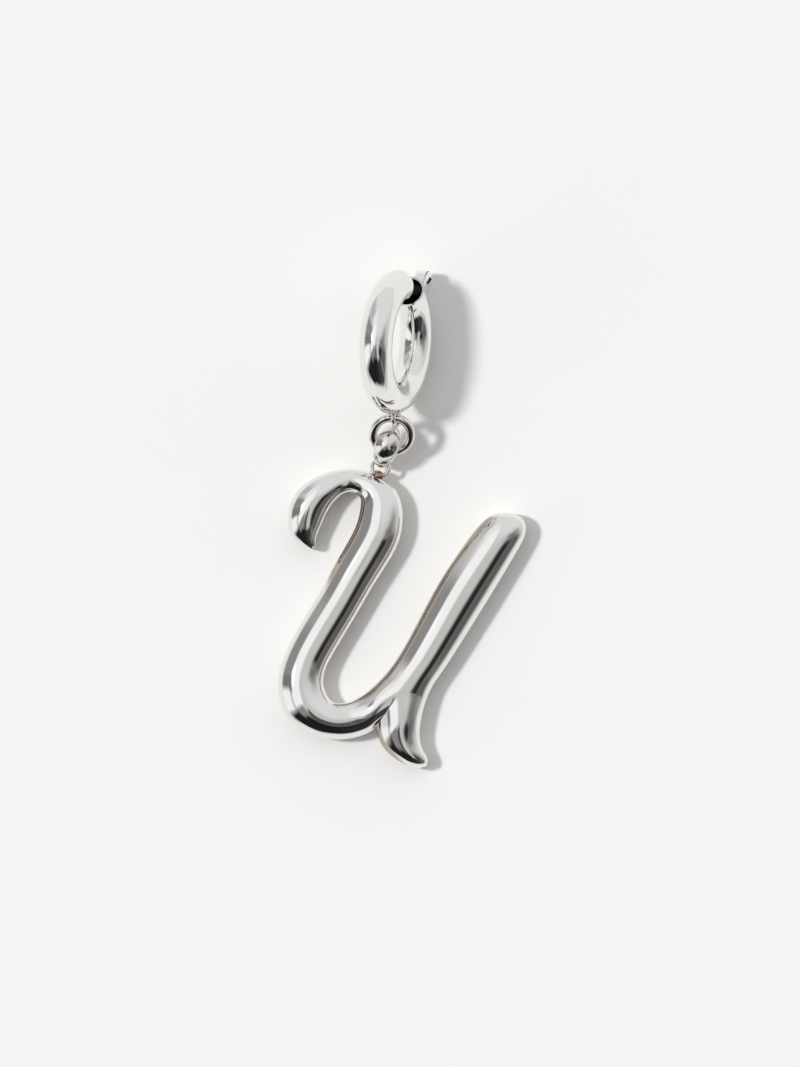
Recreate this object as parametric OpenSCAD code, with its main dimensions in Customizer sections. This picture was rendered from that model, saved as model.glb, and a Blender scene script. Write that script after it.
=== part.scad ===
// Initial pendant lying flat: a domed italic letter U on a puffed bail, a jump ring
// and a round spring-gate clasp that leans on its rim.
// Millimetres. X runs across the letter, Y up its height, Z up from the surface.

/* [Letter] */
// Height of the letter, from the tip of its tail to the top of its hook
letter_h = 30.1; // [24:0.1:40]
// Width of the letter over both stems
letter_w = 25; // [20:0.1:34]
// Height of the letter's broadest level above its flat back
waist_z = 2.05; // [1.6:0.05:3]
// Rise of the dome above the broadest level, at the broadest stroke
crown_h = 1.85; // [1.2:0.05:2.6]
// How far the flat back stands in from the outline, as a share of the half stroke
back_inset = 0.3; // [0.15:0.01:0.5]

/* [Letter ring] */
// Bore of the small ring soldered to the top of the letter
letter_ring_bore = 1.3; // [1.2:0.05:2]
// Wire of that ring
letter_ring_wire = 0.4; // [0.3:0.02:0.6]
// Height of that ring above the surface
letter_ring_z = 2.4; // [2.2:0.05:2.8]

/* [Bail] */
// Length of the bail, seen from the front
bail_l = 3.9; // [3.6:0.05:5]
// Width of the bail's front at its broadest
bail_w = 2.5; // [1.8:0.1:2.9]
// Depth of the bail between the middles of its front and its back
bail_d = 2.9; // [2.8:0.1:3.6]
// Thickness of the bail's metal at its middle
bail_wall = 0.44; // [0.3:0.02:0.5]
// Lean of the bail to the right
bail_lean = 19; // [0:1:30]

/* [Jump ring] */
// Bore of the jump ring
jump_bore = 2.9; // [2.8:0.1:4]
// Wire of the jump ring
jump_wire = 0.86; // [0.6:0.02:0.94]

/* [Clasp ring] */
// Bore of the clasp ring
clasp_bore = 7.9; // [7:0.1:12]
// Thickness of the clasp ring's round section
clasp_tube = 3.3; // [2.8:0.1:4]
// Angle between the clasp ring's plane and the surface
clasp_tilt = 69; // [60:0.5:75]
// Turn of the clasp ring about the upright, seen from above
clasp_turn = -4.4; // [-10:0.2:10]
// Thickness of the wall round the hollow that takes the latch
mouth_wall = 0.2; // [0.14:0.02:0.5]
// Depth of that hollow
mouth_depth = 2; // [1:0.1:4]
// Bore of the eyelet that carries the jump ring
eyelet_bore = 1.2; // [1.14:0.02:1.8]
// Wire of the eyelet
eyelet_wire = 0.46; // [0.4:0.02:0.7]

/* [Thumb tab] */
// How far the thumb tab stands out from the clasp ring
tab_out = 1.7; // [1.2:0.1:2.4]
// Size of the thumb tab along the rim
tab_l = 2; // [1.4:0.1:2.4]
// Size of the thumb tab across the rim
tab_w = 1.3; // [0.8:0.1:1.6]
// How far the thumb tab sits off the middle of the rim
tab_off = 0.5; // [0:0.1:0.5]

/* [Gate] */
// Diameter of the hinge pin
pin_d = 0.6; // [0.5:0.02:0.7]
// Depth of the pin's middle below the rim
pin_depth = 1; // [0.85:0.05:1.2]
// Width of the gate's middle knuckle
lug_w = 0.5; // [0.4:0.05:0.9]
// Length of the gate's rounded end
gate_end = 0.9; // [0.6:0.05:1.2]
// Radius round the rim of the gate's end
gate_round = 0.7; // [0.3:0.05:0.8]
// Diameter of the tongue that reaches into the hollow
tongue_d = 0.9; // [0.6:0.05:1.1]

/* [Fits] */
// Clearance all round the pin in the gate's knuckle
pin_play = 0.05; // [0.02:0.01:0.08]
// Clearance all round the pin where it is held
pin_hold = 0.02; // [0.01:0.01:0.03]
// Clearance beside the knuckles
side_play = 0.07; // [0.05:0.01:0.12]
// Clearance round the knuckles
barrel_play = 0.1; // [0.08:0.01:0.16]

/* [Hidden] */

// The letter is drawn on a grid of 250 by 300 units, as a typeface is
grid = [letter_w / 250, letter_h / 300];

// Sections from the hook's tip over the hook, down the left stem and round the bowl to the
// fork: [outer edge x, outer edge y, counter edge x, counter edge y], in grid units
BOWL = [
    [39, 222, 35, 218.5],
    [38.5, 228.5, 27, 221.5],
    [40, 234, 19, 227],
    [43, 240, 13, 234.5],
    [46.5, 248.5, 10, 247.5],
    [52, 259.5, 11.5, 262.5],
    [57.5, 267, 18, 275.5],
    [63, 272.5, 29, 286.5],
    [68, 275.5, 47, 295.5],
    [73.5, 276.5, 68, 299.8],
    [79, 275, 91, 298],
    [83, 271, 110.5, 288.5],
    [84, 266.5, 121.5, 275.5],
    [82.5, 257.5, 126, 261.5],
    [80, 246.5, 126.5, 246.5],
    [74.5, 234, 123.5, 228],
    [67, 221, 113.5, 208.5],
    [55, 199.5, 97, 184],
    [44.5, 179, 81.5, 156.5],
    [28, 153.5, 66, 131],
    [17.5, 135.5, 56, 114],
    [8, 117, 50.5, 104],
    [2, 100, 47.5, 95],
    [0, 86, 46.5, 87],
    [1.5, 71, 48, 79.5],
    [6, 56.5, 50.5, 73.5],
    [14, 45.5, 54.5, 68.5],
    [26.5, 37.5, 59, 66.5],
    [41, 31.5, 64, 66],
    [56, 29, 69.5, 66.5],
    [72, 29.5, 76, 68.5],
    [85, 33, 84, 72.5],
    [93.5, 36.5, 92.5, 79],
    [98, 40.5, 101, 87],
    [99, 42, 109, 95.5]
];
// Sections from the fork up the right stem to its top:
// [right edge x, right edge y, counter edge x, counter edge y]
STEM = [
    [152, 74, 109, 95.5],
    [157.5, 85.5, 117.5, 106.5],
    [167, 98, 127, 121.5],
    [184, 124.5, 142, 149.5],
    [207, 161, 162, 188],
    [226, 192, 182.5, 217.5],
    [239.5, 215, 198.5, 239.5],
    [247, 228, 210, 251],
    [250, 238, 220, 255.5],
    [248.5, 246.5, 230, 256],
    [244, 251.5, 237, 255]
];
// Sections from the fork down the tail to its tip:
// [right edge x, right edge y, notch edge x, notch edge y]
TAIL = [
    [152, 74, 99, 42],
    [147.5, 62, 99.5, 38],
    [144, 46, 100.5, 32.5],
    [143, 32, 103.5, 25],
    [145, 22, 108.5, 18],
    [148.5, 15.5, 116, 11.5],
    [151, 10, 126, 5],
    [151, 6, 135, 1.5],
    [149, 2.5, 143, 0.3]
];
// The point on the dome's crest where the three strokes part, in grid units
FORK = [122, 76];
// How far the crest stops short of a stroke's end, as a share of the way to the next row
crest_short = 0.4;

// The bail from the side, from its foot up the front, over the top and down the back:
// [share of its length, share of its depth, share of its width]
BAIL = [
    [0.00, 0.12, 0.38],
    [0.02, 0.36, 0.60],
    [0.09, 0.62, 0.74],
    [0.24, 0.86, 0.90],
    [0.48, 1.00, 1.00],
    [0.74, 0.97, 0.90],
    [0.93, 0.80, 0.68],
    [1.00, 0.60, 0.54],
    [0.92, 0.41, 0.52],
    [0.68, 0.26, 0.55],
    [0.40, 0.12, 0.48],
    [0.16, -0.06, 0.40],
    [0.04, -0.05, 0.34]
];

letter_steps = 2;       // sections drawn for each row of the letter's tables
crest_steps = 5;        // facets from the crest down to the broadest level
edge_steps = 2;         // facets from the broadest level down to the flat back
bail_steps = 2;         // sections drawn for each row of the bail's table
bail_sides = 12;        // facets round the bail's metal
round_fn = 48;

// Centre of the letter's ring, in grid units
LETTER_RING_AT = [103.5, 301];
letter_ring_r = (letter_ring_bore + letter_ring_wire) / 2;
letter_ring_c = [
    LETTER_RING_AT[0] * grid[0],
    LETTER_RING_AT[1] * grid[1],
    letter_ring_z
];

// The bail's foot hangs in the letter's ring, and the jump ring's wire lies in the bail
BAIL_FOOT_IN_RING = [-0.02, 0.24, -0.29];
JUMP_LOW_IN_BAIL = [0.14, -0.1, 0.6 * bail_d];
jump_slack = 0.69;      // how far the jump ring's wire lies above the bail's foot
bail_foot = letter_ring_c + BAIL_FOOT_IN_RING;
bail_way = [sin(bail_lean), cos(bail_lean), 0];
bail_bow = 0.3;         // rise of the bail's domed outside, as a share of half its width
jump_r = (jump_bore + jump_wire) / 2;
jump_low = bail_foot + JUMP_LOW_IN_BAIL
    + bail_way * (bail_wall + jump_wire / 2 + jump_slack);
jump_low_clock = 196;
jump_top_clock = 13;

// The clasp ring rests on its rim, and the jump ring tilts to reach its eyelet
tube_r = clasp_tube / 2;
clasp_r = (clasp_bore + clasp_tube) / 2;
eyelet_r = (eyelet_bore + eyelet_wire) / 2;
eyelet_clock = 168;
eyelet_sunk = 0.15;     // how far the eyelet's wire is sunk in the clasp ring's rim
hung_gap = 0.12;        // gap between the jump ring's wire and the eyelet's
eyelet_out = clasp_r + tube_r + eyelet_r - eyelet_wire / 2 - eyelet_sunk;
hung_out = eyelet_out + (eyelet_bore - jump_wire) / 2 - hung_gap;
clasp_z = clasp_r * sin(clasp_tilt) + tube_r;
hung_z = clasp_z - hung_out * sin(eyelet_clock) * sin(clasp_tilt);
jump_span = jump_r * (cos(jump_top_clock) - cos(jump_low_clock));
jump_tilt = asin((hung_z - jump_low[2]) / jump_span);
jump_c = jump_low - on_jump(jump_low_clock);
clasp_c = jump_c + on_jump(jump_top_clock)
    - in_clasp_frame(clock_point(eyelet_clock, hung_out));

// The origin is the middle of the whole pendant, on the surface
clasp_top = clasp_c[1] + clasp_r * sqrt(1 - pow(sin(clasp_tilt) * sin(clasp_turn), 2)) + tube_r;
middle = [letter_w / 2, clasp_top / 2, 0];

// Clock angles on the clasp ring run from twelve o'clock towards its low side
mouth_clock = 24;
tab_clock = 37;
hinge_clock = 206;
gate_clock = 350;
end_gap = 0.14;         // gap between the two halves at the hinge
hinge_r = clasp_r + tube_r - pin_depth;
gap_turn = asin(end_gap / 2 / clasp_r);
knuckle_step = 0.05;    // how far the knuckles lie below the round of the tube
knuckle_turn = 20;      // clock angle that the outer knuckles reach on each side
barrel_r = pin_depth - knuckle_step;
barrel_cut = pin_depth + barrel_play;
pin_reach = sqrt(pow(tube_r, 2) - pow(hinge_r + pin_d / 2 - clasp_r, 2));
mouth_turn = asin(mouth_depth / clasp_r);
tongue_in = 0.5;        // how far the tongue sits in from the middle of the tube
tongue_root = 3;        // clock angle that the tongue starts before the gate's end
tongue_reach = 0.45;    // reach of the tongue into the hollow, as a share of its depth
tongue_r = clasp_r - tongue_in;
tongue_clock = mouth_clock + tongue_reach * mouth_turn;
tab_root = 0.6;         // where the thumb tab starts, as a share of the tube's radius

function clock_point(clock, r) = [r * sin(clock), r * cos(clock), 0];
function on_jump(clock) = [
    jump_r * sin(clock),
    jump_r * cos(clock) * cos(jump_tilt),
    jump_r * cos(clock) * sin(jump_tilt)
];
function turn_z(p, a) = [p[0] * cos(a) - p[1] * sin(a), p[0] * sin(a) + p[1] * cos(a), p[2]];
function turn_y(p, a) = [p[0] * cos(a) + p[2] * sin(a), p[1], p[2] * cos(a) - p[0] * sin(a)];
function in_clasp_frame(p) = turn_z(turn_y(p, clasp_tilt), clasp_turn);

function last(list) = list[len(list) - 1];
function flip(list) = [for (i = [len(list) - 1:-1:0]) list[i]];
function from_second(list) = [for (i = [1:len(list) - 1]) list[i]];

// A smooth curve through points, with n steps from each point to the next
function between(a, b, c, d, t) =
    0.5 * (2 * b + (c - a) * t + (2 * a - 5 * b + 4 * c - d) * t * t
        + (3 * b - a - 3 * c + d) * t * t * t);
function smooth(p, n) = let (k = len(p) - 1) [
    for (i = [0:k - 1], j = [0:n - 1])
        between(
            i > 0 ? p[i - 1] : 2 * p[0] - p[1], p[i],
            p[i + 1], i + 2 <= k ? p[i + 2] : 2 * p[k] - p[k - 1], j / n),
    p[k]
];
function smooth_loop(p, n) = let (k = len(p)) [
    for (i = [0:k - 1], j = [0:n - 1])
        between(p[(i + k - 1) % k], p[i], p[(i + 1) % k], p[(i + 2) % k], j / n)
];

function on_grid(x, y) = [x * grid[0], y * grid[1]];
function first_edge(rows) = [for (row = rows) on_grid(row[0], row[1])];
function second_edge(rows) = [for (row = rows) on_grid(row[2], row[3])];
function row_middle(row) = on_grid((row[0] + row[2]) / 2, (row[1] + row[3]) / 2);
function crest(rows, fork_row, end_row, before_end) = [
    for (i = [0:len(rows) - 1])
        i == fork_row ? on_grid(FORK[0], FORK[1])
        : i == end_row
            ? row_middle(rows[i]) * (1 - crest_short) + row_middle(rows[before_end]) * crest_short
        : row_middle(rows[i])
];
function half_strokes(rows, points) = [
    for (i = [0:len(rows) - 1])
        min(
            norm(points[i] - on_grid(rows[i][0], rows[i][1])),
            norm(points[i] - on_grid(rows[i][2], rows[i][3])))
];

// The letter as one solid: every point of its outline has a mate on the crest, and a domed
// arch runs from the mate out to the broadest level, then in again to the flat back
module letter_body() {
    fork_row = len(BOWL) - 1;
    bowl_crest = crest(BOWL, fork_row, 0, 1);
    stem_crest = crest(STEM, 0, len(STEM) - 1, len(STEM) - 2);
    tail_crest = crest(TAIL, 0, len(TAIL) - 1, len(TAIL) - 2);
    bowl_half = half_strokes(BOWL, bowl_crest);
    stem_half = half_strokes(STEM, stem_crest);
    tail_half = [for (half = half_strokes(TAIL, tail_crest)) min(half, last(bowl_half))];
    broadest = max(concat(bowl_half, from_second(stem_half)));

    main_crest = smooth(concat(bowl_crest, from_second(stem_crest)), letter_steps);
    main_half = smooth(concat(bowl_half, from_second(stem_half)), letter_steps);
    branch_crest = from_second(smooth(tail_crest, letter_steps));
    branch_half = from_second(
        smooth(concat([last(bowl_half)], from_second(tail_half)), letter_steps));
    top = concat(main_crest, branch_crest);
    half = concat(main_half, branch_half);

    counter = smooth(concat(second_edge(BOWL), from_second(second_edge(STEM))), letter_steps);
    right = smooth(concat(flip(first_edge(STEM)), from_second(first_edge(TAIL))), letter_steps);
    notch = flip(smooth(second_edge(TAIL), letter_steps));
    outer = from_second(flip(smooth(first_edge(BOWL), letter_steps)));
    outline = concat(counter, right, notch, outer);

    fork = letter_steps * fork_row;
    stem_end = len(main_crest) - 1;
    branch_end = len(top) - 1;
    mates = concat(
        [for (i = [0:stem_end]) i],
        [for (i = [stem_end:-1:fork]) i],
        [for (i = [stem_end + 1:branch_end]) i],
        [for (i = [branch_end:-1:stem_end + 1]) i],
        [for (i = [fork:-1:0]) i]);

    arch = [
        for (i = [1:crest_steps]) [sin(90 * i / crest_steps), cos(90 * i / crest_steps), 1],
        for (i = [1:edge_steps])
            [1 - back_inset * (1 - cos(90 * i / edge_steps)), 0, 1 - sin(90 * i / edge_steps)]
    ];
    k = len(arch);
    n = len(outline);
    points = concat(
        [for (i = [0:n - 1], step = arch)
            let (mate = mates[i], p = top[mate] + (outline[i] - top[mate]) * step[0])
            [p[0], p[1], waist_z * step[2] + crown_h * half[mate] / broadest * step[1]]],
        [for (i = [0:branch_end])
            [top[i][0], top[i][1], waist_z + crown_h * half[i] / broadest]],
        [for (p = top) [p[0], p[1], 0]]);
    crest_at = n * k;
    back_at = crest_at + len(top);
    faces = concat(
        [for (i = [0:n - 1], j = [0:k - 2]) let (m = (i + 1) % n)
            [i * k + j, i * k + j + 1, m * k + j + 1]],
        [for (i = [0:n - 1], j = [0:k - 2]) let (m = (i + 1) % n)
            [i * k + j, m * k + j + 1, m * k + j]],
        [for (i = [0:n - 1]) let (m = (i + 1) % n)
            [crest_at + mates[i], i * k, m * k]],
        [for (i = [0:n - 1]) let (m = (i + 1) % n)
            if (mates[i] != mates[m]) [crest_at + mates[i], m * k, crest_at + mates[m]]],
        [for (i = [0:n - 1]) let (m = (i + 1) % n)
            [back_at + mates[i], m * k + k - 1, i * k + k - 1]],
        [for (i = [0:n - 1]) let (m = (i + 1) % n)
            if (mates[i] != mates[m])
                [back_at + mates[i], back_at + mates[m], m * k + k - 1]]);
    polyhedron(points, faces);
}

module wire_ring(mean_r, wire_d) {
    rotate_extrude($fn = 2 * round_fn)
        translate([mean_r, 0])
            circle(d = wire_d, $fn = round_fn);
}

module letter() {
    color("silver")
        translate(-middle) {
            letter_body();
            translate(letter_ring_c)
                wire_ring(letter_ring_r, letter_ring_wire);
        }
}

// The bail's metal swept round its side view, domed outside and nearly flat inside
module bail() {
    path = smooth_loop([for (row = BAIL) [row[0] * bail_l, row[1] * bail_d]], bail_steps);
    breadth = smooth_loop([for (row = BAIL) row[2] * bail_w], bail_steps);
    n = len(path);
    k = bail_sides;
    points = [
        for (i = [0:n - 1])
            let (
                way = path[(i + 1) % n] - path[(i + n - 1) % n],
                out = [-way[1], way[0]] / norm(way)
            )
            for (j = [0:k - 1])
                let (
                    across = breadth[i] / 2 * cos(360 * j / k),
                    rise = bail_wall / 2 * sin(360 * j / k),
                    bow = bail_bow * breadth[i] / 2 * (pow(sin(360 * j / k), 2) - 1 / 2),
                    p = path[i] + out * (rise + bow)
                )
                [across, p[0], p[1]]
    ];
    faces = concat(
        [for (i = [0:n - 1], j = [0:k - 1]) let (m = (i + 1) % n, o = (j + 1) % k)
            [i * k + j, m * k + j, m * k + o]],
        [for (i = [0:n - 1], j = [0:k - 1]) let (m = (i + 1) % n, o = (j + 1) % k)
            [i * k + j, m * k + o, i * k + o]]);
    color("silver")
        translate(bail_foot - middle)
            rotate([0, 0, -bail_lean])
                polyhedron(points, faces);
}

module jump_ring() {
    color("silver")
        translate(jump_c - middle)
            rotate([jump_tilt, 0, 0])
                wire_ring(jump_r, jump_wire);
}

module at_clasp() {
    translate(clasp_c - middle)
        rotate([0, clasp_tilt, clasp_turn])
            children();
}

module at_clock(clock) {
    rotate([0, 0, -clock])
        children();
}

// A stretch of round tube between two clock angles
module tube_arc(r, radius, from_clock, to_clock) {
    rotate([0, 0, 90 - to_clock])
        rotate_extrude(angle = to_clock - from_clock, $fn = 4 * round_fn)
            translate([r, 0])
                circle(r = radius, $fn = round_fn);
}

module hinge_cylinder(radius, length) {
    translate(clock_point(hinge_clock, hinge_r))
        cylinder(r = radius, h = length, center = true, $fn = round_fn);
}

module beside_lug(radius, side) {
    translate([0, 0, side * (lug_w / 2 + tube_r)])
        hinge_cylinder(radius, 2 * tube_r);
}

// The outer knuckles lie just under the round of the tube
module outer_knuckles() {
    difference() {
        intersection() {
            hinge_cylinder(barrel_r, 2 * tube_r);
            tube_arc(clasp_r, tube_r, hinge_clock - knuckle_turn, hinge_clock + knuckle_turn);
        }
        hinge_cylinder(2 * pin_depth, lug_w + 2 * side_play);
    }
}

module thumb_tab() {
    root = clasp_r + tab_root * tube_r;
    top = clasp_r + tube_r + tab_out - tab_l / 2;
    at_clock(tab_clock)
        translate([0, 0, tab_off])
            linear_extrude(tab_w, center = true) {
                translate([-tab_l / 2, root])
                    square([tab_l, top - root]);
                translate([0, top])
                    circle(d = tab_l, $fn = round_fn);
            }
}

module clasp_ring() {
    color("silver")
        at_clasp()
            difference() {
                union() {
                    difference() {
                        tube_arc(clasp_r, tube_r, mouth_clock, hinge_clock - gap_turn);
                        hinge_cylinder(barrel_cut, lug_w + 2 * side_play);
                    }
                    outer_knuckles();
                    translate(clock_point(eyelet_clock, eyelet_out))
                        wire_ring(eyelet_r, eyelet_wire);
                    thumb_tab();
                }
                tube_arc(clasp_r, tube_r - mouth_wall, mouth_clock - 1, mouth_clock + mouth_turn);
                hinge_cylinder(pin_d / 2 + pin_hold, 2 * tube_r);
            }
}

module round_end() {
    rotate_extrude($fn = round_fn) {
        square([tube_r - gate_round, gate_end]);
        square([tube_r, gate_end - gate_round]);
        intersection() {
            translate([tube_r - gate_round, gate_end - gate_round])
                circle(gate_round, $fn = round_fn);
            square(2 * tube_r);
        }
    }
}

module clasp_gate() {
    color("silver")
        at_clasp()
            difference() {
                union() {
                    difference() {
                        tube_arc(clasp_r, tube_r, hinge_clock + gap_turn, gate_clock);
                        beside_lug(barrel_cut, 1);
                        beside_lug(barrel_cut, -1);
                    }
                    hinge_cylinder(barrel_r, lug_w);
                    at_clock(gate_clock)
                        translate([0, clasp_r, 0])
                            rotate([0, 90, 0])
                                round_end();
                    tube_arc(tongue_r, tongue_d / 2, gate_clock - tongue_root, 360 + tongue_clock);
                }
                hinge_cylinder(pin_d / 2 + pin_play, 2 * tube_r);
            }
}

module hinge_pin() {
    color("silver")
        at_clasp()
            hinge_cylinder(pin_d / 2, 2 * pin_reach);
}

letter();
bail();
jump_ring();
clasp_ring();
clasp_gate();
hinge_pin();
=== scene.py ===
import math

import bmesh
import bpy
from mathutils import Matrix, Vector


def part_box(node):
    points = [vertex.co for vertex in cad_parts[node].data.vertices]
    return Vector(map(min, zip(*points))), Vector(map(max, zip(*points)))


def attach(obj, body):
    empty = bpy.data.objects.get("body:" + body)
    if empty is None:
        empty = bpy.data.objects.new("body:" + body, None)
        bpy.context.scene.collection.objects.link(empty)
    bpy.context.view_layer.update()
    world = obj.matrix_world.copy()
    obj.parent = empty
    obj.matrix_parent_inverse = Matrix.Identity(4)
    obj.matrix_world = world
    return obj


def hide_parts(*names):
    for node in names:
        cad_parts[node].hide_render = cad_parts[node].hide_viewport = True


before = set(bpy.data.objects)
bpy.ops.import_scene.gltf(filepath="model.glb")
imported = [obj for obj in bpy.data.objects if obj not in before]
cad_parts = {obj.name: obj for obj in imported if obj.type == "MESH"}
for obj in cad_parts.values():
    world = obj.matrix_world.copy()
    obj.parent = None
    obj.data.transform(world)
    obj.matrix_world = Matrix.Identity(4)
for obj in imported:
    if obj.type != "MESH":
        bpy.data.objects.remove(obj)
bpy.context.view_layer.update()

scene = bpy.context.scene
mm = 0.001
# in millimetres, as the sizes of all pieces are
weld = 0.0005  # points closer than this become one
hair = 0.001  # a difference that counts as none
touch = 0.01  # a distance that counts as touching
sharpAngle = math.radians(35)  # sharper edges stay sharp on the carved pieces
print("frame loaded")


def boxMiddle(node):
    # the middle of a CAD node, in millimetres
    low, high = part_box(node)
    return (low + high) / 2 / mm


def smoothRows(rows, steps):
    # rows between the given ones, on a smooth curve through them
    rows = [Vector(row) for row in rows]
    last = len(rows) - 1
    dense = []
    for i in range(last):
        before = rows[i - 1] if i > 0 else 2 * rows[0] - rows[1]
        after = rows[i + 2] if i + 2 <= last else 2 * rows[last] - rows[last - 1]
        here, ahead = rows[i], rows[i + 1]
        for j in range(steps):
            t = j / steps
            dense.append(0.5 * (2 * here + (ahead - before) * t
                                + (2 * before - 5 * here + 4 * ahead - after) * t * t
                                + (3 * here - before - 3 * ahead + after) * t * t * t))
    dense.append(rows[last])
    return dense


def easeRows(rows, rounds):
    # takes the last unevenness out of the rows, ends kept
    for _ in range(rounds):
        between = [(a + 2 * b + c) / 4 for a, b, c in zip(rows, rows[1:], rows[2:])]
        rows = [rows[0]] + between + [rows[-1]]
    return rows


def ringEdges(ring):
    # the edges along a ring of vertices that don't have a face on both sides yet
    inRing = set(ring)
    around = dict.fromkeys(edge for vert in ring for edge in vert.link_edges)
    return [edge for edge in around
            if len(edge.link_faces) < 2 and all(vert in inRing for vert in edge.verts)]


def bridgeRings(bm, rings, closed=False):
    loops = [ringEdges(ring) for ring in rings]
    following = loops[1:] + loops[:1] if closed else loops[1:]
    for loop, nextLoop in zip(loops, following):
        bmesh.ops.bridge_loops(bm, edges=loop + nextLoop)


def pullRing(bm, ring, move):
    # draws a new ring of vertices out of an open end and places it
    pulled = bmesh.ops.extrude_edge_only(bm, edges=ringEdges(ring))["geom"]
    ring = [item for item in pulled if isinstance(item, bmesh.types.BMVert)]
    bmesh.ops.transform(bm, matrix=move, verts=ring)
    return ring


def closeEnd(bm, ring):
    bmesh.ops.edgeloop_fill(bm, edges=ringEdges(ring))


def levelEdges(bm):
    # the edges whose two ends are equally high
    return [edge for edge in bm.edges if abs(edge.verts[0].co.z - edge.verts[1].co.z) < hair]


def softenEdges(bm, edges, size, steps):
    bmesh.ops.bevel(bm, geom=edges, offset=size, segments=steps, affect="EDGES", profile=0.5,
                    material=-1)


def spinRing(bm, wire, centre, axis, arm, points):
    # a wire ring: a round section at the end of an arm, spun all the way round the axis
    axis, arm = Vector(axis).normalized(), Vector(arm)
    section = bmesh.ops.create_circle(bm, segments=points, radius=wire / 2)["verts"]
    turned = Matrix((arm.normalized(), axis, arm.cross(axis).normalized())).transposed().to_4x4()
    place = Matrix.Translation(Vector(centre) + arm) @ turned
    bmesh.ops.transform(bm, matrix=place, verts=section)
    bmesh.ops.spin(bm, geom=section + ringEdges(section), cent=centre, axis=axis,
                   angle=2 * math.pi, steps=3 * points, use_merge=True)


def finishPiece(name, bm, materials, node, body):
    # welds the mesh, turns it to metres and hands the piece to the frame
    bmesh.ops.remove_doubles(bm, verts=bm.verts, dist=weld)
    bmesh.ops.recalc_face_normals(bm, faces=bm.faces)
    bmesh.ops.scale(bm, vec=(mm, mm, mm), verts=bm.verts)
    mesh = bpy.data.meshes.new(name)
    bm.to_mesh(mesh)
    bm.free()
    mesh.shade_smooth()
    for material in materials:
        mesh.materials.append(material)
    piece = bpy.data.objects.new(name, mesh)
    scene.collection.objects.link(piece)
    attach(piece, body)
    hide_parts(node)
    return piece


def addSubdivision(piece, levels):
    modifier = piece.modifiers.new("Subdivision", "SUBSURF")
    modifier.levels = levels
    modifier.render_levels = levels


def solidOf(name, bm):
    # a closed mesh as an object of its own, for carving
    bmesh.ops.recalc_face_normals(bm, faces=bm.faces)
    mesh = bpy.data.meshes.new(name)
    bm.to_mesh(mesh)
    bm.free()
    solid = bpy.data.objects.new(name, mesh)
    scene.collection.objects.link(solid)
    return solid


def carve(target, tool, operation="DIFFERENCE"):
    # cuts, joins or keeps the common part of two solids, and takes the tool away
    modifier = target.modifiers.new("Carve", "BOOLEAN")
    modifier.operation = operation
    modifier.solver = "EXACT"
    modifier.object = tool
    bpy.context.view_layer.update()
    carved = target.evaluated_get(bpy.context.evaluated_depsgraph_get())
    solved = bpy.data.meshes.new_from_object(carved)
    target.modifiers.clear()
    oldMesh, toolMesh = target.data, tool.data
    target.data = solved
    bpy.data.objects.remove(tool)
    for mesh in (oldMesh, toolMesh):
        bpy.data.meshes.remove(mesh)


def mathNode(nodes, links, operation, *values):
    # a sum on sockets, numbers or both
    node = nodes.new("ShaderNodeMath")
    node.operation = operation
    for socket, value in zip(node.inputs, values):
        if isinstance(value, (int, float)):
            socket.default_value = value
        else:
            links.new(value, socket)
    return node.outputs[0]


def noiseNode(nodes, links, spot, scale, detail):
    node = nodes.new("ShaderNodeTexNoise")
    node.inputs["Scale"].default_value = scale
    node.inputs["Detail"].default_value = detail
    links.new(spot, node.inputs["Vector"])
    return node.outputs["Fac"]


def softRange(nodes, links, value, low, high, most=1.0):
    # 0 up to low, then eases up to most at high; the other way round where high is below low
    node = nodes.new("ShaderNodeMapRange")
    node.interpolation_type = "SMOOTHSTEP"
    links.new(value, node.inputs["Value"])
    rising = high > low
    node.inputs["From Min"].default_value = low if rising else high
    node.inputs["From Max"].default_value = high if rising else low
    node.inputs["To Min"].default_value = 0.0 if rising else most
    node.inputs["To Max"].default_value = most if rising else 0.0
    return node.outputs["Result"]


# what all the metals share: the tint drifts a little, with faint rubbing marks and a slight
# cast waviness. Scales are per metre, spans are shares of the noise.
finishLook = {
    "driftScale": 260.0,
    "driftDetail": 3.0,
    "driftSpan": (0.35, 0.68),
    "driftShade": 0.965,
    "markScale": 9000.0,
    "markDetail": 2.0,
    "markStretch": (1.0, 0.12, 1.0),
    "markTurn": (0.2, 0.1, 0.5),
    "markSpan": (0.35, 0.75),
    "markDulls": 0.03,
    "waveScale": 420.0,
    "waveDetail": 1.0,
    "waveDepth": 0.00002,
}


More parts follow.
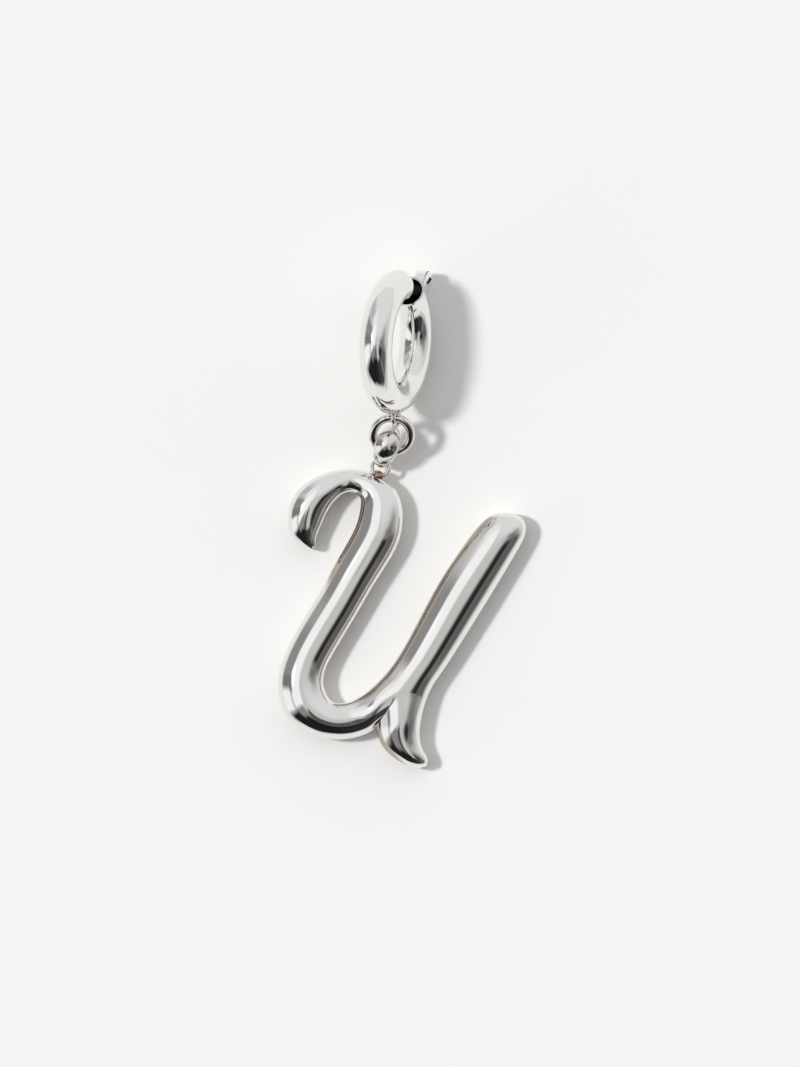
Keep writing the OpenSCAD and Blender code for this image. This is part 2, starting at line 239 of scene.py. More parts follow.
def polishedMetal(name, tint, shine, waviness=0.12, fleckAndReflection=None):
    look = finishLook
    material = bpy.data.materials.new(name)
    material.use_nodes = True
    nodes, links = material.node_tree.nodes, material.node_tree.links
    shader = nodes["Principled BSDF"]
    shader.inputs["Metallic"].default_value = 1.0
    place = nodes.new("ShaderNodeTexCoord")
    spot = place.outputs["Object"]

    toneRamp = nodes.new("ShaderNodeValToRGB")
    dim, bright = toneRamp.color_ramp.elements
    dim.position, bright.position = look["driftSpan"]
    dim.color = (*[share * look["driftShade"] for share in tint], 1)
    bright.color = (*tint, 1)
    drift = noiseNode(nodes, links, spot, look["driftScale"], look["driftDetail"])
    links.new(drift, toneRamp.inputs["Fac"])
    colour = toneRamp.outputs["Color"]
    # a second tint by a mask: real brown flecks on some metals, a painted reflection on the
    # letter's left-facing flanks
    if fleckAndReflection:
        fleckAndReflectionMix = nodes.new("ShaderNodeMix")
        fleckAndReflectionMix.data_type = "RGBA"
        fleckAndReflectionMix.inputs["B"].default_value = (*fleckAndReflection["tint"], 1)
        links.new(fleckAndReflection["mask"](nodes, links, place), fleckAndReflectionMix.inputs["Factor"])
        links.new(colour, fleckAndReflectionMix.inputs["A"])
        colour = fleckAndReflectionMix.outputs["Result"]
    links.new(colour, shader.inputs["Base Color"])

    stretch = nodes.new("ShaderNodeMapping")
    stretch.inputs["Scale"].default_value = look["markStretch"]
    stretch.inputs["Rotation"].default_value = look["markTurn"]
    links.new(spot, stretch.inputs["Vector"])
    marks = noiseNode(nodes, links, stretch.outputs["Vector"], look["markScale"],
                      look["markDetail"])
    gloss = nodes.new("ShaderNodeMapRange")
    for end, value in zip(("From Min", "From Max"), look["markSpan"]):
        gloss.inputs[end].default_value = value
    gloss.inputs["To Min"].default_value = shine
    gloss.inputs["To Max"].default_value = shine + look["markDulls"]
    links.new(marks, gloss.inputs["Value"])
    links.new(gloss.outputs["Result"], shader.inputs["Roughness"])

    bump = nodes.new("ShaderNodeBump")
    bump.inputs["Strength"].default_value = waviness
    bump.inputs["Distance"].default_value = look["waveDepth"]
    waves = noiseNode(nodes, links, spot, look["waveScale"], look["waveDetail"])
    links.new(waves, bump.inputs["Height"])
    links.new(bump.outputs["Normal"], shader.inputs["Normal"])
    return material


# painted reflection, warm brown: a narrow band along the widest line of the flanks that
# face left inside the letter, by the way the surface faces and by its place in metres
paintedReflectionLook = {
    "facingX": (-0.3, -0.5),
    "facingZ": (0.8, 0.66),
    "placeX": (-0.0078, -0.007),
    "placeZ": (0.0016, 0.002),
    "most": 0.85,
}
# small brown flecks, as on cheap plated wire
fleckLook = {"scale": 900.0, "detail": 2.0, "span": (0.52, 0.68), "most": 0.75}


def paintedFlankReflection(nodes, links, place):
    facing, spot = nodes.new("ShaderNodeSeparateXYZ"), nodes.new("ShaderNodeSeparateXYZ")
    links.new(place.outputs["Normal"], facing.inputs["Vector"])
    links.new(place.outputs["Object"], spot.inputs["Vector"])
    share = softRange(nodes, links, facing.outputs["X"], *paintedReflectionLook["facingX"], paintedReflectionLook["most"])
    for socket, span in ((facing.outputs["Z"], "facingZ"), (spot.outputs["X"], "placeX"),
                         (spot.outputs["Z"], "placeZ")):
        other = softRange(nodes, links, socket, *paintedReflectionLook[span])
        share = mathNode(nodes, links, "MULTIPLY", share, other)
    return share


def flecks(nodes, links, place):
    noise = noiseNode(nodes, links, place.outputs["Object"], fleckLook["scale"],
                      fleckLook["detail"])
    return softRange(nodes, links, noise, *fleckLook["span"], fleckLook["most"])


# the letter's painted reflection: warm brown on the flanks that face left
paintedWarmReflection = {"tint": (0.42, 0.33, 0.24), "mask": paintedFlankReflection}
brownFlecks = {"tint": (0.5, 0.33, 0.24), "mask": flecks}
letterMetal = polishedMetal("letterMetal", (0.88, 0.873, 0.86), 0.035, fleckAndReflection=paintedWarmReflection)
linkMetal = polishedMetal("linkMetal", (0.83, 0.81, 0.785), 0.06, fleckAndReflection=brownFlecks)
bailMetal = polishedMetal("bailMetal", (0.82, 0.81, 0.79), 0.05)
solderMetal = polishedMetal("solderMetal", (0.36, 0.27, 0.22), 0.2, 0.5, brownFlecks)
claspMetal = polishedMetal("claspMetal", (0.89, 0.89, 0.88), 0.03)
# painted shade: near-black metal lining the mouth's hollow
hollowShadeMetal = polishedMetal("hollowShadeMetal", (0.022, 0.02, 0.018), 0.4)
# painted shade: darker, rougher metal in the tab's recess
recessShadeMetal = polishedMetal("recessShadeMetal", (0.3, 0.295, 0.285), 0.42)
pinMetal = polishedMetal("pinMetal", (0.68, 0.67, 0.66), 0.18)
print("metals made")


letterSizes = {
    "width": 25.0,
    "height": 30.1,
    "grid": (250, 300),
    "middle": (12.5, 24.9791),  # the whole pendant's middle, from the letter's corner
    "waist": 2.05,
    "crown": 1.85,
    "backInset": 0.3,
    "crestShort": 0.4,
    "sectionPoints": 24,
    "rowSteps": 4,
    "easing": 6,
    "tipReach": 0.3,
    "tipRings": ((0.72, 0.6), (0.5, 0.3)),  # how small, and how far out as a share of the reach
    "valleyEnd": (0.5, 0.85),  # where the crease at the fork starts to fade and where it is gone
    "smoothing": 2,
}

# outer edge x, y and counter edge x, y, from the hook's tip down the left stem to the fork
bowlRows = [
    (39, 222, 35, 218.5), (38.5, 228.5, 27, 221.5), (40, 234, 19, 227), (43, 240, 13, 234.5),
    (46.5, 248.5, 10, 247.5), (52, 259.5, 11.5, 262.5), (57.5, 267, 18, 275.5),
    (63, 272.5, 29, 286.5), (68, 275.5, 47, 295.5), (73.5, 276.5, 68, 299.8),
    (79, 275, 91, 298), (83, 271, 110.5, 288.5), (84, 266.5, 121.5, 275.5),
    (82.5, 257.5, 126, 261.5), (80, 246.5, 126.5, 246.5), (74.5, 234, 123.5, 228),
    (67, 221, 113.5, 208.5), (55, 199.5, 97, 184), (44.5, 179, 81.5, 156.5),
    (28, 153.5, 66, 131), (17.5, 135.5, 56, 114), (8, 117, 50.5, 104), (2, 100, 47.5, 95),
    (0, 86, 46.5, 87), (1.5, 71, 48, 79.5), (6, 56.5, 50.5, 73.5), (14, 45.5, 54.5, 68.5),
    (26.5, 37.5, 59, 66.5), (41, 31.5, 64, 66), (56, 29, 69.5, 66.5), (72, 29.5, 76, 68.5),
    (85, 33, 84, 72.5), (93.5, 36.5, 92.5, 79), (98, 40.5, 101, 87), (99, 42, 109, 95.5),
]
# right edge and counter edge, from the fork up the right stem
stemRows = [
    (152, 74, 109, 95.5), (157.5, 85.5, 117.5, 106.5), (167, 98, 127, 121.5),
    (184, 124.5, 142, 149.5), (207, 161, 162, 188), (226, 192, 182.5, 217.5),
    (239.5, 215, 198.5, 239.5), (247, 228, 210, 251), (250, 238, 220, 255.5),
    (248.5, 246.5, 230, 256), (244, 251.5, 237, 255),
]
# right edge and notch edge, from the fork down the tail
tailRows = [
    (152, 74, 99, 42), (147.5, 62, 99.5, 38), (144, 46, 100.5, 32.5), (143, 32, 103.5, 25),
    (145, 22, 108.5, 18), (148.5, 15.5, 116, 11.5), (151, 10, 126, 5), (151, 6, 135, 1.5),
    (149, 2.5, 143, 0.3),
]
forkPoint = (122, 76)
notchPoint = (99, 42)


def onGrid(x, y):
    across, up = letterSizes["grid"]
    return Vector((x * letterSizes["width"] / across - letterSizes["middle"][0],
                   y * letterSizes["height"] / up - letterSizes["middle"][1]))


def strokeSections(rows, forkAt, tipAt):
    # each section as both edges, the crest between them and the breadth of its narrower half
    sections = []
    for i, row in enumerate(rows):
        first, second = onGrid(*row[:2]), onGrid(*row[2:])
        sections.append([first, second,
                         onGrid(*forkPoint) if i == forkAt else (first + second) / 2])
    inward = 1 if tipAt == 0 else tipAt - 1
    share = letterSizes["crestShort"]
    sections[tipAt][2] = sections[tipAt][2] * (1 - share) + sections[inward][2] * share
    return [[*first, *second, *crest, min((crest - first).length, (crest - second).length)]
            for first, second, crest in sections]


def addSection(bm, row, broadest):
    # a circle stood across the stroke: the dome above the waist, the shoulders and flat back below
    first, second, crest = Vector(row[0:2]), Vector(row[2:4]), Vector(row[4:6])
    rise = letterSizes["crown"] * row[6] / broadest
    waist, inset = letterSizes["waist"], letterSizes["backInset"]
    count = letterSizes["sectionPoints"]
    shoulderSteps = count // 8
    ring = bmesh.ops.create_circle(bm, segments=count, radius=1)["verts"]
    for vert in ring:
        across, up = vert.co.x, vert.co.y
        edge = first if across < 0 else second
        if up > -hair:
            share, height = abs(across), waist + rise * max(up, 0)
        else:
            below = round(math.asin(-up) / (2 * math.pi / count))
            turn = math.pi / 2 * below / shoulderSteps
            if below <= shoulderSteps:
                share, height = 1 - inset * (1 - math.cos(turn)), waist * (1 - math.sin(turn))
            else:
                share = (1 - inset) * (count / 4 - below) / (count / 4 - shoulderSteps)
                height = 0.0
        spot = crest + (edge - crest) * share
        vert.co = (spot.x, spot.y, height)
    return ring


def closeTip(bm, ring, outward):
    # rounds a stroke's end with two smaller rings, then fills it
    for share, push in letterSizes["tipRings"]:
        ring = pullRing(bm, ring, Matrix())
        foot = min(vert.co.z for vert in ring)
        centre = sum((vert.co for vert in ring), Vector()) / len(ring)
        centre.z = letterSizes["waist"] if foot < touch else centre.z
        for vert in ring:
            vert.co = centre + (vert.co - centre) * share + outward * push
    closeEnd(bm, ring)


def creaseValley(bm):
    # the stem and the bowl meet in a valley: sharp at the notch, gone before the fork's middle
    notch, fork = onGrid(*notchPoint), onGrid(*forkPoint)
    reach, line = (fork - notch).length, (fork - notch).normalized()
    full, gone = letterSizes["valleyEnd"]
    crease = bm.edges.layers.float.new("crease_edge")
    for edge in bm.edges:
        spots = [Vector(vert.co[:2]) - notch for vert in edge.verts]
        along = [spot.dot(line) for spot in spots]
        aside = [(spot - line * part).length for spot, part in zip(spots, along)]
        onLine = max(aside) < touch and min(along) > -touch and max(along) < reach + touch
        if onLine and min(vert.co.z for vert in edge.verts) > touch:
            share = sum(along) / 2 / reach
            edge[crease] = min(1, max(0, (gone - share) / (gone - full)))


def buildLetter():
    bowl = strokeSections(bowlRows, len(bowlRows) - 1, 0)
    stem = strokeSections(stemRows, 0, len(stemRows) - 1)
    tail = strokeSections(tailRows, 0, len(tailRows) - 1)
    stem[0][6] = bowl[-1][6]
    for row in tail:
        row[6] = min(row[6], bowl[-1][6])
    broadest = max(row[6] for row in bowl + stem[1:])
    bm = bmesh.new()
    tips = []
    for rows, tipAt in ((bowl, 0), (stem, -1), (tail, -1)):
        rows = easeRows(smoothRows(rows, letterSizes["rowSteps"]), letterSizes["easing"])
        rings = [addSection(bm, row, broadest) for row in rows]
        bridgeRings(bm, rings)
        inner = rows[1] if tipAt == 0 else rows[-2]
        outward = (Vector(rows[tipAt][4:6]) - Vector(inner[4:6])) * letterSizes["tipReach"]
        tips.append((rings[tipAt], outward.to_3d()))
    for ring, outward in tips:
        closeTip(bm, ring, outward)
    bmesh.ops.remove_doubles(bm, verts=bm.verts, dist=hair)
    creaseValley(bm)
    return bm


letterRingSizes = {"bore": 1.3, "wire": 0.4, "at": (103.5, 301), "height": 2.4, "points": 24}
solderSizes = {
    "across": (0.62, 0.52, 0.45),
    "at": (-2.44, 4.4, 2.3),
    "lumps": 0.09,
    "lumpWaves": ((5.1, 1.3), (4.3, 0.4), (3.7, 0.0)),  # rate and start along x, y and z
    "fineness": 3,
}


def addSolder(bm):
    # a small uneven fillet of solder where the ring meets the letter
    blob = bmesh.ops.create_icosphere(bm, subdivisions=solderSizes["fineness"], radius=1)["verts"]
    for vert in blob:
        lump = math.prod(math.sin(rate * value + start)
                         for value, (rate, start) in zip(vert.co, solderSizes["lumpWaves"]))
        vert.co *= 1 + solderSizes["lumps"] * lump
    bmesh.ops.scale(bm, vec=solderSizes["across"], verts=blob)
    bmesh.ops.translate(bm, vec=solderSizes["at"], verts=blob)
    for face in {face for vert in blob for face in vert.link_faces}:
        face.material_index = 1


letterPiece = finishPiece("letter_form", buildLetter(), [letterMetal], "letter", "pendant")
addSubdivision(letterPiece, letterSizes["smoothing"])

letterRingSpot = Vector((*onGrid(*letterRingSizes["at"]), letterRingSizes["height"]))
letterRingArm = ((letterRingSizes["bore"] + letterRingSizes["wire"]) / 2, 0, 0)
bm = bmesh.new()
spinRing(bm, letterRingSizes["wire"], letterRingSpot, (0, 0, 1), letterRingArm,
         letterRingSizes["points"])
addSolder(bm)
finishPiece("letter_ring", bm, [linkMetal, solderMetal], "letter", "pendant")
print("letter made")


bailSizes = {
    "length": 3.9,
    "width": 2.5,
    "depth": 2.9,
    "wall": 0.44,
    "lean": 19.0,
    "bow": 0.3,
    "footInRing": (-0.02, 0.24, -0.29),  # from the middle of the letter's ring
    "sectionPoints": 16,
    "rowSteps": 2,
    "smoothing": 3,
}
# seen from the side, up the front and down the back: share of length, of depth and of width
bailRows = [
    (0.00, 0.12, 0.38), (0.02, 0.36, 0.60), (0.09, 0.62, 0.74), (0.24, 0.86, 0.90),
    (0.48, 1.00, 1.00), (0.74, 0.97, 0.90), (0.93, 0.80, 0.68), (1.00, 0.60, 0.54),
    (0.92, 0.41, 0.52), (0.68, 0.26, 0.55), (0.40, 0.12, 0.48), (0.16, -0.06, 0.40),
    (0.04, -0.05, 0.34),
]


def buildBail():
    # closed sections along the rows, each a flat round bowed outwards
    steps = bailSizes["rowSteps"]
    wrapped = bailRows[-2:] + bailRows + bailRows[:2]
    dense = smoothRows(wrapped, steps)[2 * steps:(2 + len(bailRows)) * steps]
    spots = [Vector((0, row[0] * bailSizes["length"], row[1] * bailSizes["depth"]))
             for row in dense]
    bm = bmesh.new()
    rings = []
    for i, row in enumerate(dense):
        way = (spots[(i + 1) % len(dense)] - spots[i - 1]).normalized()
        out = Vector((0, -way.z, way.y))
        half, wall = row[2] * bailSizes["width"] / 2, bailSizes["wall"] / 2
        ring = bmesh.ops.create_circle(bm, segments=bailSizes["sectionPoints"], radius=1)["verts"]
        for vert in ring:
            across, up = vert.co.x, vert.co.y
            lift = wall * up + bailSizes["bow"] * half * (up * up - 0.5)
            vert.co = spots[i] + Vector((half * across, 0, 0)) + out * lift
        rings.append(ring)
    bridgeRings(bm, rings, closed=True)
    lean = Matrix.Rotation(-math.radians(bailSizes["lean"]), 4, "Z")
    foot = Matrix.Translation(letterRingSpot + Vector(bailSizes["footInRing"]))
    bmesh.ops.transform(bm, matrix=foot @ lean, verts=bm.verts)
    return bm


bailPiece = finishPiece("bail_form", buildBail(), [bailMetal], "bail", "pendant")
addSubdivision(bailPiece, bailSizes["smoothing"])
print("bail made")


jumpSizes = {"bore": 2.9, "wire": 0.86, "tilt": 24.7545, "points": 48}
jumpTilt = math.radians(jumpSizes["tilt"])
jumpArm = ((jumpSizes["bore"] + jumpSizes["wire"]) / 2, 0, 0)
bm = bmesh.new()
spinRing(bm, jumpSizes["wire"], boxMiddle("jump_ring"),
         (0, -math.sin(jumpTilt), math.cos(jumpTilt)), jumpArm, jumpSizes["points"])
finishPiece("jump_ring_form", bm, [linkMetal], "jump_ring", "pendant")
print("jump ring made")


claspSizes = {
    "bore": 7.9,
    "tube": 3.3,
    "tilt": 69.0,
    "turn": -4.4,
    "mouthClock": 24.0,
    "mouthWall": 0.2,
    "mouthDepth": 2.0,
    "hollowSteps": 6,
    "hingeClock": 206.0,
    "endGap": 0.03,
    "tubePoints": 72,
    "stepTurn": 1.5,
}
hingeSizes = {
    "pin": 0.6,
    "pinDepth": 1.0,
    "pinHold": 0.02,
    "pinPlay": 0.05,
    "pinSkin": 0.06,
    "pinEdge": 0.07,
    "pinEdgeSteps": 4,
    "pinPoints": 48,
    "lug": 0.5,
    "sidePlay": 0.07,
    "barrelPlay": 0.08,
    "barrelPoints": 64,
    "knuckleOver": 0.07,
    "knuckleTurn": 20.0,
}
tabSizes = {
    "out": 1.714,
    "length": 2.0,
    "width": 1.3,
    "off": 0.5,
    "clock": 37.0,
    "root": 0.6,
    "edge": 0.15,
    "edgeSteps": 5,
    "points": 48,
}
recessSizes = {
    "longSide": (1.02, 0.62),
    "shortSide": (0.62, -0.23),
    "deep": 0.2,
    "corner": 0.12,
    "cornerSteps": 5,
}
eyeletSizes = {"bore": 1.2, "wire": 0.46, "clock": 168.0, "sunk": 0.15, "points": 32}
gateSizes = {
    "clock": 350.0,
    "end": 0.9,
    "round": 0.7,
    "roundStep": 10,
    "capRings": (0.66, 0.33),
    "tongue": 0.9,
    "tongueIn": 0.5,
    "tongueSide": 0.3,
    "tongueRoot": 3.0,
    "tongueReach": 0.45,
    "tongueTip": 0.8,
    "tonguePoints": 32,
}


def clockSpot(clock, reach):
    # clock angles run from twelve o'clock towards the low side
    turn = math.radians(clock)
    return Vector((reach * math.sin(turn), reach * math.cos(turn), 0))


claspR = (claspSizes["bore"] + claspSizes["tube"]) / 2
tubeR = claspSizes["tube"] / 2
pinR = hingeSizes["pin"] / 2
hingeR = claspR + tubeR - hingeSizes["pinDepth"]
barrelCut = hingeSizes["pinDepth"] + hingeSizes["barrelPlay"]
lugSlot = hingeSizes["lug"] + 2 * hingeSizes["sidePlay"]
pinReach = math.sqrt(tubeR ** 2 - (hingeR + pinR - claspR) ** 2) - hingeSizes["pinSkin"]
gapTurn = math.degrees(math.asin(claspSizes["endGap"] / 2 / claspR))
hollowTurn = math.degrees(math.asin(claspSizes["mouthDepth"] / claspR))
tabTop = claspR + tubeR + tabSizes["out"] - tabSizes["length"] / 2
pinSpot = clockSpot(claspSizes["hingeClock"], hingeR)
recessSpot = clockSpot(tabSizes["clock"], tabTop) + Vector(
    (0, 0, tabSizes["off"] + tabSizes["width"] / 2))
# the clasp is built lying flat round the origin, then leant, and hung by its hinge pin
claspLean = (Matrix.Rotation(math.radians(claspSizes["turn"]), 4, "Z")
             @ Matrix.Rotation(math.radians(claspSizes["tilt"]), 4, "Y"))
claspPlace = Matrix.Translation(boxMiddle("hinge_pin") - claspLean @ pinSpot) @ claspLean


def shrinkAt(spot, share):
    return Matrix.Translation(spot) @ Matrix.Scale(share, 4) @ Matrix.Translation(-spot)


def tubeArc(bm, reach, radius, fromClock, toClock, points):
    # a stretch of round tube, open at both ends: returns its first and last rings of vertices
    section = bmesh.ops.create_circle(bm, segments=points, radius=radius)["verts"]
    place = (Matrix.Rotation(-math.radians(fromClock), 4, "Z")
             @ Matrix.Translation((0, reach, 0)) @ Matrix.Rotation(math.pi / 2, 4, "Y"))
    bmesh.ops.transform(bm, matrix=place, verts=section)
    steps = max(2, round((toClock - fromClock) / claspSizes["stepTurn"]))
    spun = bmesh.ops.spin(bm, geom=section + ringEdges(section), cent=(0, 0, 0), axis=(0, 0, 1),
                          angle=-math.radians(toClock - fromClock), steps=steps)
    last = [item for item in spun["geom_last"] if isinstance(item, bmesh.types.BMVert)]
    return section, last


def hingeCylinder(radius, length, middle=0.0):
    # a cylinder round the hinge's axis
    bm = bmesh.new()
    bmesh.ops.create_cone(bm, cap_ends=True, segments=hingeSizes["barrelPoints"], radius1=radius,
                          radius2=radius, depth=length)
    bmesh.ops.translate(bm, vec=pinSpot + Vector((0, 0, middle)), verts=bm.verts)
    return solidOf("hingeCylinder", bm)


def fixedTube():
    # the fixed half: closed at the hinge, hollow at the mouth
    bm = bmesh.new()
    first, last = tubeArc(bm, claspR, tubeR, claspSizes["mouthClock"],
                          claspSizes["hingeClock"] - gapTurn, claspSizes["tubePoints"])
    closeEnd(bm, last)
    mouth = clockSpot(claspSizes["mouthClock"], claspR)
    rim = pullRing(bm, first, shrinkAt(mouth, 1 - claspSizes["mouthWall"] / tubeR))
    step = -math.radians(hollowTurn) / claspSizes["hollowSteps"]
    for _ in range(claspSizes["hollowSteps"]):
        rim = pullRing(bm, rim, Matrix.Rotation(step, 4, "Z"))
    closeEnd(bm, rim)
    return solidOf("fixedTube", bm)


def gateTube():
    # the swinging half: closed at the hinge, rounded at the latch
    bm = bmesh.new()
    first, last = tubeArc(bm, claspR, tubeR, claspSizes["hingeClock"] + gapTurn,
                          gateSizes["clock"], claspSizes["tubePoints"])
    closeEnd(bm, first)
    end = clockSpot(gateSizes["clock"], claspR)
    way = clockSpot(gateSizes["clock"] + 90, 1)
    straight = gateSizes["end"] - gateSizes["round"]
    stops = [(straight, 1.0)]
    for lean in range(gateSizes["roundStep"], 91, gateSizes["roundStep"]):
        turn = math.radians(lean)
        stops.append((straight + gateSizes["round"] * math.sin(turn),
                      1 - gateSizes["round"] / tubeR * (1 - math.cos(turn))))
    ring, at, size = last, 0.0, 1.0
    for reach, share in stops:
        shrink = shrinkAt(end + way * at, share / size)
        ring = pullRing(bm, ring, Matrix.Translation(way * (reach - at)) @ shrink)
        at, size = reach, share
    for share in gateSizes["capRings"]:
        ring = pullRing(bm, ring, shrinkAt(end + way * at, share))
    closeEnd(bm, ring)
    return solidOf("gateTube", bm)


def barrelStretch(length):
    # what a barrel round the pin and the whole tube have in common
    bm = bmesh.new()
    for ring in tubeArc(bm, claspR, tubeR, claspSizes["hingeClock"] - hingeSizes["knuckleTurn"],
                        claspSizes["hingeClock"] + hingeSizes["knuckleTurn"],
                        claspSizes["tubePoints"]):
        closeEnd(bm, ring)
    stretch = solidOf("barrelStretch", bm)
    barrel = hingeCylinder(hingeSizes["pinDepth"] + hingeSizes["knuckleOver"], length)
    carve(stretch, barrel, "INTERSECT")
    return stretch


def outerKnuckles():
    knuckles = barrelStretch(2 * tubeR)
    carve(knuckles, hingeCylinder(2 * hingeSizes["pinDepth"], lugSlot))
    return knuckles


def thumbTab():
    # a plate with a round head, its edges softened
    bm = bmesh.new()
    rim = bmesh.ops.create_circle(bm, cap_ends=True, segments=tabSizes["points"],
                                  radius=tabSizes["length"] / 2)["verts"]
    for vert in rim:
        if vert.co.y < 0:
            vert.co.y += claspR + tabSizes["root"] * tubeR - tabTop
    bmesh.ops.translate(bm, vec=(0, tabTop, tabSizes["off"] - tabSizes["width"] / 2), verts=rim)
    lifted = bmesh.ops.extrude_face_region(bm, geom=bm.faces[:])["geom"]
    bmesh.ops.translate(bm, vec=(0, 0, tabSizes["width"]),
                        verts=[item for item in lifted if isinstance(item, bmesh.types.BMVert)])
    softenEdges(bm, levelEdges(bm), tabSizes["edge"], tabSizes["edgeSteps"])
    turned = Matrix.Rotation(-math.radians(tabSizes["clock"]), 4, "Z")
    bmesh.ops.transform(bm, matrix=turned, verts=bm.verts)
    return solidOf("thumbTab", bm)


def recessBlock():
    # a small slanted block with round corners, to press a recess into the tab's right face
    bm = bmesh.new()
    bmesh.ops.create_cube(bm, size=1)
    sides = [(*recessSizes["longSide"], 0), (*recessSizes["shortSide"], 0),
             (0, 0, 2 * recessSizes["deep"])]
    bmesh.ops.transform(bm, matrix=Matrix(sides).transposed().to_4x4(), verts=bm.verts)
    level = levelEdges(bm)
    uprights = [edge for edge in bm.edges if edge not in level]
    softenEdges(bm, uprights, recessSizes["corner"], recessSizes["cornerSteps"])
    bmesh.ops.translate(bm, vec=recessSpot, verts=bm.verts)
    return solidOf("recessBlock", bm)


def tongue():
    # a thinner round bar that reaches from the gate's end into the hollow
    bm = bmesh.new()
    reach = claspR - gateSizes["tongueIn"]
    tip = 360 + claspSizes["mouthClock"] + gateSizes["tongueReach"] * hollowTurn
    first, last = tubeArc(bm, reach, gateSizes["tongue"] / 2,
                          gateSizes["clock"] - gateSizes["tongueRoot"], tip,
                          gateSizes["tonguePoints"])
    closeEnd(bm, first)
    closeEnd(bm, pullRing(bm, last, shrinkAt(clockSpot(tip, reach), gateSizes["tongueTip"])))
    bmesh.ops.translate(bm, vec=(0, 0, gateSizes["tongueSide"]), verts=bm.verts)
    return solidOf("tongue", bm)


def paintedShadeIndex(face):
    # which painted shade a face gets: 1 (near-black) where it lines the mouth's hollow, 2 (dark
    # grey) in the tab's recess
    spot = face.calc_center_median()
    past = math.degrees(math.atan2(spot.x, spot.y)) - claspSizes["mouthClock"]
    fromMiddle = math.hypot(claspR - math.hypot(spot.x, spot.y), spot.z)
    slack = 0.5  # degrees, for faces right at the hollow's two ends
    if fromMiddle < tubeR - claspSizes["mouthWall"] + touch and -slack < past < hollowTurn + slack:
        return 1
    close = (spot - recessSpot).length < Vector(recessSizes["longSide"]).length
    below = recessSpot.z - spot.z
    return 2 if close and 2 * touch < below < recessSizes["deep"] + touch else 0


def settleSolid(solid, name, materials, node, body):
    # puts a carved solid in its place as a finished piece
    bm = bmesh.new()
    bm.from_mesh(solid.data)
    carvedMesh = solid.data
    bpy.data.objects.remove(solid)
    bpy.data.meshes.remove(carvedMesh)
    # painted shade: the fixed half's hollow and recess faces get the dark metals
    for face in bm.faces:
        face.material_index = paintedShadeIndex(face) if hollowShadeMetal in materials else 0
    bmesh.ops.transform(bm, matrix=claspPlace, verts=bm.verts)
    piece = finishPiece(name, bm, materials, node, body)
    piece.data.set_sharp_from_angle(angle=sharpAngle)


fixedHalf = fixedTube()
carve(fixedHalf, hingeCylinder(barrelCut, lugSlot))
carve(fixedHalf, outerKnuckles(), "UNION")
carve(fixedHalf, thumbTab(), "UNION")
carve(fixedHalf, recessBlock())
carve(fixedHalf, hingeCylinder(pinR + hingeSizes["pinHold"], 2 * pinReach))
settleSolid(fixedHalf, "clasp_ring_form", [claspMetal, hollowShadeMetal, recessShadeMetal], "clasp_ring",
            "pendant")

eyeletR = (eyeletSizes["bore"] + eyeletSizes["wire"]) / 2
eyeletOut = claspR + tubeR + eyeletR - eyeletSizes["wire"] / 2 - eyeletSizes["sunk"]
bm = bmesh.new()
spinRing(bm, eyeletSizes["wire"], clockSpot(eyeletSizes["clock"], eyeletOut), (0, 0, 1),
         (eyeletR, 0, 0), eyeletSizes["points"])
bmesh.ops.transform(bm, matrix=claspPlace, verts=bm.verts)
finishPiece("eyelet", bm, [linkMetal], "clasp_ring", "pendant")

gate = gateTube()
besideLug = hingeSizes["lug"] / 2 + tubeR
for side in (1, -1):
    carve(gate, hingeCylinder(barrelCut, 2 * tubeR, side * besideLug))
carve(gate, barrelStretch(hingeSizes["lug"]), "UNION")
carve(gate, tongue(), "UNION")
carve(gate, hingeCylinder(pinR + hingeSizes["pinPlay"], 2 * tubeR))
settleSolid(gate, "clasp_gate_form", [claspMetal], "clasp_gate", "gate")

bm = bmesh.new()
bmesh.ops.create_cone(bm, cap_ends=True, segments=hingeSizes["pinPoints"], radius1=pinR,
                      radius2=pinR, depth=2 * (pinReach - hingeSizes["pinHold"]))
softenEdges(bm, levelEdges(bm), hingeSizes["pinEdge"], hingeSizes["pinEdgeSteps"])
bmesh.ops.translate(bm, vec=pinSpot, verts=bm.verts)
bmesh.ops.transform(bm, matrix=claspPlace, verts=bm.verts)
pinPiece = finishPiece("hinge_pin_form", bm, [pinMetal], "hinge_pin", "pendant")
pinPiece.data.set_sharp_from_angle(angle=sharpAngle)
print("clasp made")


# the camera looks straight down from far off, over a paper floor just under the pendant
viewSizes = {
    "centre": (-0.2, -1.4),
    "height": 4.0,
    "framed": 106.7,
    "lens": 600.0,
    "sensor": 36.0,
    "clip": (0.01, 20.0),
}
floorSizes = {"half": 1.5, "under": 0.00001}  # metres
paperLook = {
    "dark": (0.935, 0.925, 0.91),
    "light": (0.955, 0.947, 0.935),
    "grain": 60.0,
    "roughness": 0.9,
    "specular": 0.2,
}

cameraData = bpy.data.cameras.new("camera")
cameraData.sensor_fit = "AUTO"
cameraData.sensor_width = viewSizes["sensor"]
cameraData.lens = viewSizes["lens"]
cameraData.clip_start, cameraData.clip_end = viewSizes["clip"]
camera = bpy.data.objects.new("camera", cameraData)
away = viewSizes["lens"] / viewSizes["sensor"] * viewSizes["framed"] + viewSizes["height"]
camera.location = Vector((*viewSizes["centre"], away)) * mm
scene.collection.objects.link(camera)
scene.camera = camera

floorMesh = bpy.data.meshes.new("floor")
bm = bmesh.new()
bmesh.ops.create_grid(bm, x_segments=1, y_segments=1, size=floorSizes["half"])
bmesh.ops.translate(bm, vec=(0, 0, -floorSizes["under"]), verts=bm.verts)
bm.to_mesh(floorMesh)
bm.free()
floor = bpy.data.objects.new("floor", floorMesh)
scene.collection.objects.link(floor)

